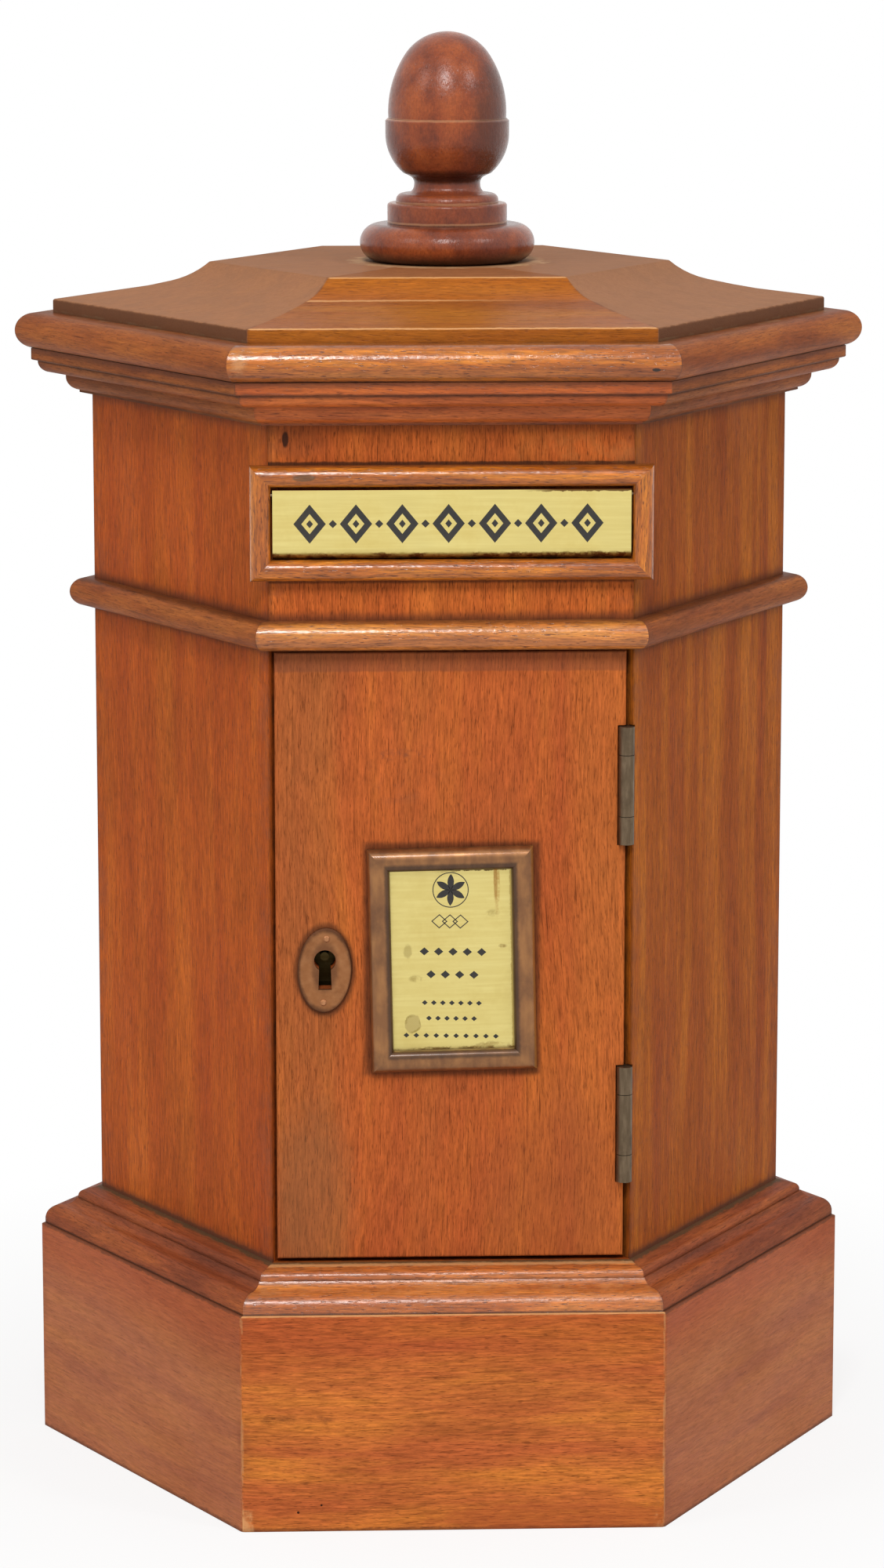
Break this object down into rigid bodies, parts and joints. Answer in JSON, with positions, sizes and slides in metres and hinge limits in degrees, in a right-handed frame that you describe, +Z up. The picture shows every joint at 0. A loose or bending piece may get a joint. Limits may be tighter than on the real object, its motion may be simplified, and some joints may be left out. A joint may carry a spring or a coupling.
{
  "type": "desk letter box",
  "caption": "Hexagonal mahogany desk letter box: mouldings, hollow roof with an acorn, brass-faced letter flap, hinged locking door with a small plaque.",
  "frame": {"origin": "middle of the underside, on the surface that the box stands on", "axes": "+Z up, the front with the door and the flap faces -Y, +X to the right of a viewer in front"},
  "size_m": [0.2826, 0.2448, 0.4761],
  "materials": {
    "mahogany_boards": "satin lacquer, worn",
    "mahogany_plinth": "satin lacquer, worn",
    "mahogany_mouldings": "glossy lacquer",
    "mahogany_roof": "satin lacquer, faded",
    "mahogany_turned": "glossy lacquer",
    "pale_brass": "thin sheet, brushed, stained",
    "dark_steel": "dull, darkened",
    "copper_brown_brass": "tarnished",
    "aged_brass": "tarnished",
    "engraved_brass": "engraved, tarnished",
    "lock_brass": "plain, dull"
  },
  "bodies": {
    "case": {"plinth_front": "mahogany_plinth", "plinth_front_right": "mahogany_plinth", "plinth_rear_right": "mahogany_plinth", "plinth_back": "mahogany_plinth", "plinth_rear_left": "mahogany_plinth", "plinth_front_left": "mahogany_plinth", "base_moulding_front": "mahogany_mouldings", "base_moulding_front_right": "mahogany_mouldings", "base_moulding_rear_right": "mahogany_mouldings", "base_moulding_back": "mahogany_mouldings", "base_moulding_rear_left": "mahogany_mouldings", "base_moulding_front_left": "mahogany_mouldings", "belt_moulding_front": "mahogany_mouldings", "belt_moulding_front_right": "mahogany_mouldings", "belt_moulding_rear_right": "mahogany_mouldings", "belt_moulding_back": "mahogany_mouldings", "belt_moulding_rear_left": "mahogany_mouldings", "belt_moulding_front_left": "mahogany_mouldings", "crown_moulding_front": "mahogany_mouldings", "crown_moulding_front_right": "mahogany_mouldings", "crown_moulding_rear_right": "mahogany_mouldings", "crown_moulding_back": "mahogany_mouldings", "crown_moulding_rear_left": "mahogany_mouldings", "crown_moulding_front_left": "mahogany_mouldings", "bead_moulding_front": "mahogany_mouldings", "bead_moulding_front_right": "mahogany_mouldings", "bead_moulding_rear_right": "mahogany_mouldings", "bead_moulding_back": "mahogany_mouldings", "bead_moulding_rear_left": "mahogany_mouldings", "bead_moulding_front_left": "mahogany_mouldings", "side_front_left": "mahogany_boards", "side_rear_left": "mahogany_boards", "back_panel": "mahogany_boards", "side_rear_right": "mahogany_boards", "side_front_right": "mahogany_boards", "front_panel": "mahogany_boards", "bottom_board": "mahogany_boards", "top_board": "mahogany_boards", "roof_block": "mahogany_roof", "finial": "mahogany_turned", "flap_frame_top": "mahogany_mouldings", "flap_frame_bottom": "mahogany_mouldings", "flap_frame_left": "mahogany_mouldings", "flap_frame_right": "mahogany_mouldings", "upper_hinge_frame_leaf": "dark_steel", "lower_hinge_frame_leaf": "dark_steel", "frame_hinge_screws": "dark_steel"},
    "door": {"door_panel": "mahogany_boards", "upper_hinge_door_leaf": "dark_steel", "lower_hinge_door_leaf": "dark_steel", "door_screws": "dark_steel", "escutcheon": "copper_brown_brass", "escutcheon_pins": "copper_brown_brass", "plaque_frame": "aged_brass", "plaque_plate": "engraved_brass", "lock_case": "lock_brass"},
    "bolt": {"lock_bolt": "lock_brass"},
    "flap": {"flap_board": "mahogany_boards", "flap_plate": "pale_brass", "flap_pins": "dark_steel"}
  },
  "joints": [
    {"name": "door_hinge", "type": "hinge", "parent": "case", "child": "door", "pos_m": [0.05587, -0.10077, 0.1857], "axis": [0, 0, 1], "range_deg": [0, 190]},
    {"name": "flap_hinge", "type": "hinge", "parent": "case", "child": "flap", "pos_m": [0, -0.10351, 0.3353], "axis": [-1, 0, 0], "range_deg": [0, 120]},
    {"name": "bolt_slide", "type": "slide", "parent": "door", "child": "bolt", "axis": [-1, 0, 0], "range_m": [0, 0.0065]}
  ]
}
